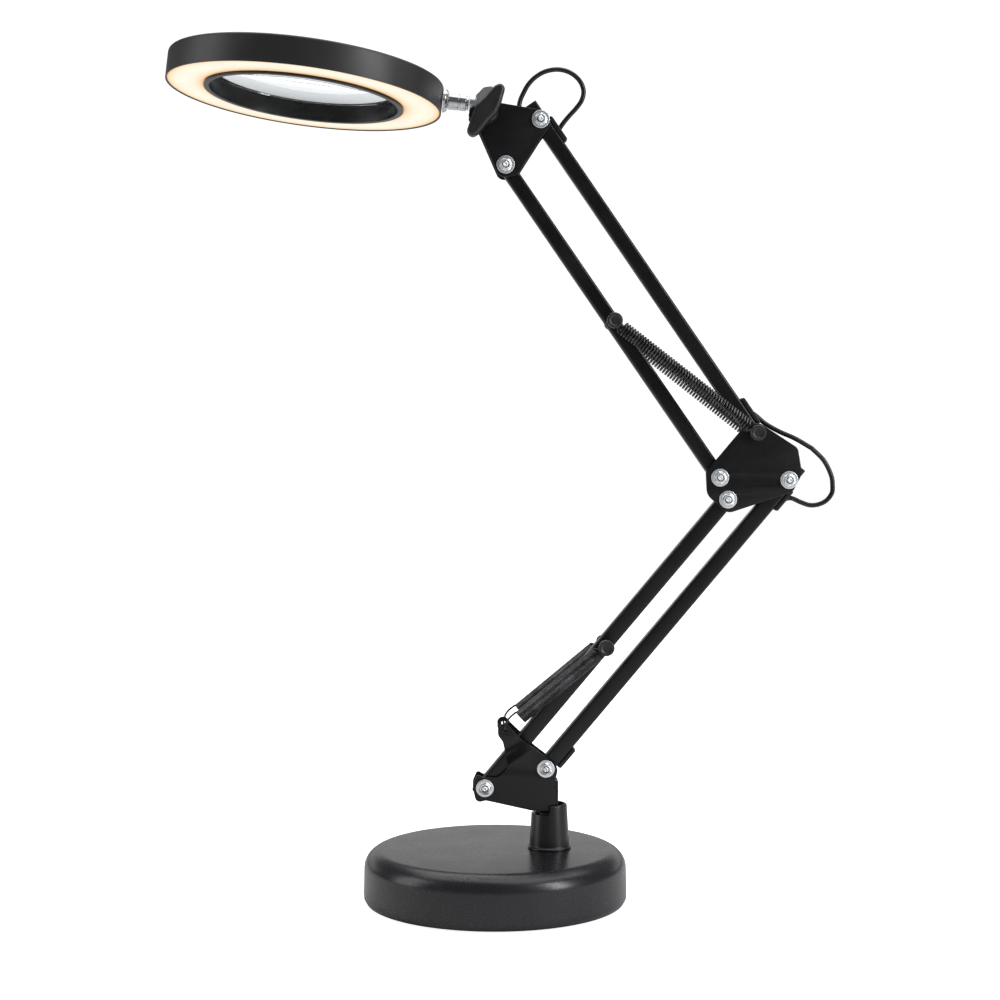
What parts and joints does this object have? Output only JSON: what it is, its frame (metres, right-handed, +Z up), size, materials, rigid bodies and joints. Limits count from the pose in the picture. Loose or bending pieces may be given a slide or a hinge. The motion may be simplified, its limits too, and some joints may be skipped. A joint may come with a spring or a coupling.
{
  "type": "magnifying lamp",
  "caption": "Round-based desk magnifier with a spring-balanced two-stage parallelogram arm, a tilting ring light and a glass lens.",
  "frame": {"origin": "centre of the base's resting face", "axes": "+Z up; +X from the base centre towards the elbow, in the plane of the arm; +Y away from the side with the nuts and the wing knob"},
  "size_m": [0.3907, 0.161, 0.497],
  "materials": {
    "base_plastic": "satin",
    "black_plastic": "satin",
    "black_steel": "satin powder coat",
    "zinc": "bright zinc plating",
    "chrome": "polished plating",
    "spring_wire": "blackened wire",
    "ballast": "as cast",
    "foot": "foam pad",
    "cable": "satin",
    "ring_plastic": "fine texture",
    "led_board": "satin",
    "diffuser": "frosted, lit",
    "lens": "polished"
  },
  "bodies": {
    "base": {"base_shell": "base_plastic", "base_weight": "ballast", "bottom_plate": "black_steel", "foot_pad": "foot", "socket_post": "black_plastic", "post_bolt": "zinc"},
    "bracket": {"swivel_stem": "black_steel", "bracket_front": "black_steel", "bracket_rear": "black_steel", "bracket_front_pivot_bolt": "zinc", "bracket_front_pivot_nut": "zinc", "bracket_back_pivot_bolt": "zinc", "bracket_back_pivot_nut": "zinc"},
    "lower_back": {"lower_back_bar": "black_steel", "cord_clip_elbow_lower": "black_plastic", "cord_outlet": "black_plastic", "cord_lower": "cable"},
    "lower_front": {"lower_front_bar": "black_steel", "lower_spring_post": "black_plastic"},
    "lower_springs": {"lower_spring_front": "spring_wire", "lower_spring_rear": "spring_wire"},
    "lower_spring_ends": {"lower_spring_hook_front": "spring_wire", "lower_spring_hook_rear": "spring_wire"},
    "elbow": {"elbow_plate_front": "black_steel", "elbow_plate_rear": "black_steel", "elbow_lower_front_pivot_bolt": "zinc", "elbow_lower_front_pivot_nut": "zinc", "elbow_lower_back_pivot_bolt": "zinc", "elbow_lower_back_pivot_nut": "zinc", "elbow_upper_front_pivot_bolt": "zinc", "elbow_upper_front_pivot_nut": "zinc", "elbow_spring_post": "black_plastic"},
    "upper_back": {"upper_back_bar": "black_steel", "cord_clip_head": "black_plastic", "cord_clip_elbow_upper": "black_plastic", "cord_upper": "cable"},
    "upper_front": {"upper_front_bar": "black_steel", "upper_spring_post": "black_plastic"},
    "upper_springs": {"upper_spring_front": "spring_wire", "upper_spring_rear": "spring_wire"},
    "upper_spring_ends": {"upper_spring_hook_front": "spring_wire", "upper_spring_hook_rear": "spring_wire"},
    "head": {"head_plate_front": "black_steel", "head_plate_rear": "black_steel", "head_front_pivot_bolt": "zinc", "head_front_pivot_nut": "zinc", "head_back_pivot_bolt": "zinc", "head_back_pivot_nut": "zinc", "clamp_bolt": "zinc"},
    "knob": {"wing_knob": "black_plastic"},
    "tilt": {"head_knuckle": "chrome"},
    "ring": {"head_shaft": "chrome", "ring_ferrule": "chrome", "ring_housing": "ring_plastic", "led_board": "led_board", "diffuser": "diffuser", "lens_bezel": "ring_plastic", "lens": "lens"}
  },
  "joints": [
    {"name": "swivel", "type": "hinge", "parent": "base", "child": "bracket", "pos_m": [0.032, 0, 0.045], "axis": [0, 0, 1], "range_deg": [-30, 30]},
    {"name": "lower_arm", "type": "hinge", "parent": "bracket", "child": "lower_back", "pos_m": [0.0296, 0, 0.0796], "axis": [0, -1, 0], "range_deg": [-14, 35]},
    {"name": "lower_front_link", "type": "hinge", "parent": "bracket", "child": "lower_front", "pos_m": [-0.0061, 0, 0.0682], "axis": [0, -1, 0], "range_deg": [-14, 35]},
    {"name": "elbow_level", "type": "hinge", "parent": "lower_back", "child": "elbow", "pos_m": [0.17166, 0, 0.2489], "axis": [0, -1, 0], "range_deg": [-35, 14], "deforming": ["cord_lower"]},
    {"name": "upper_arm", "type": "hinge", "parent": "elbow", "child": "upper_back", "pos_m": [0.15156, 0, 0.2765], "axis": [0, -1, 0], "range_deg": [-30, 30]},
    {"name": "upper_front_link", "type": "hinge", "parent": "elbow", "child": "upper_front", "pos_m": [0.13126, 0, 0.2503], "axis": [0, -1, 0], "range_deg": [-30, 30]},
    {"name": "head_level", "type": "hinge", "parent": "upper_back", "child": "head", "pos_m": [0.02635, 0, 0.458], "axis": [0, -1, 0], "range_deg": [-30, 30], "deforming": ["cord_upper"]},
    {"name": "head_tilt", "type": "hinge", "parent": "head", "child": "tilt", "pos_m": [-0.0047, 0, 0.461], "axis": [0, -1, 0], "range_deg": [-60, 60]},
    {"name": "head_roll", "type": "hinge", "parent": "tilt", "child": "ring", "pos_m": [-0.01517, 0, 0.46816], "axis": [0.9936, 0, -0.1132], "range_deg": [-90, 90]},
    {"name": "knob_turn", "type": "hinge", "parent": "head", "child": "knob", "pos_m": [-0.0047, 0, 0.461], "axis": [0, -1, 0], "continuous": true},
    {"name": "lower_spring_swing", "type": "hinge", "parent": "bracket", "child": "lower_springs", "pos_m": [0.00466, 0, 0.10078], "axis": [0, -1, 0], "range_deg": [-20, 49]},
    {"name": "lower_spring_stretch", "type": "slide", "parent": "lower_springs", "child": "lower_spring_ends", "axis": [0.7712, 0, 0.6366], "range_m": [-0.0047, 0.0019], "deforming": ["lower_spring_front", "lower_spring_rear", "lower_spring_hook_front", "lower_spring_hook_rear"]},
    {"name": "upper_spring_swing", "type": "hinge", "parent": "elbow", "child": "upper_springs", "pos_m": [0.14998, 0, 0.27168], "axis": [0, -1, 0], "range_deg": [-29.6, 29.6]},
    {"name": "upper_spring_stretch", "type": "slide", "parent": "upper_springs", "child": "upper_spring_ends", "axis": [-0.789, 0, 0.6144], "range_m": [-0.0158, 0.0158], "deforming": ["upper_spring_front", "upper_spring_rear", "upper_spring_hook_front", "upper_spring_hook_rear"]}
  ],
  "couplings": [
    {"joint": "lower_front_link", "follows": "lower_arm", "ratio": 1},
    {"joint": "elbow_level", "follows": "lower_arm", "ratio": -1},
    {"joint": "lower_spring_swing", "follows": "lower_arm", "ratio": 1.392},
    {"joint": "lower_spring_stretch", "follows": "lower_arm", "m_per_rad": -0.00751},
    {"joint": "upper_front_link", "follows": "upper_arm", "ratio": 1},
    {"joint": "head_level", "follows": "upper_arm", "ratio": -1},
    {"joint": "upper_spring_swing", "follows": "upper_arm", "ratio": 0.9795},
    {"joint": "upper_spring_stretch", "follows": "upper_arm", "m_per_rad": 0.02997}
  ]
}
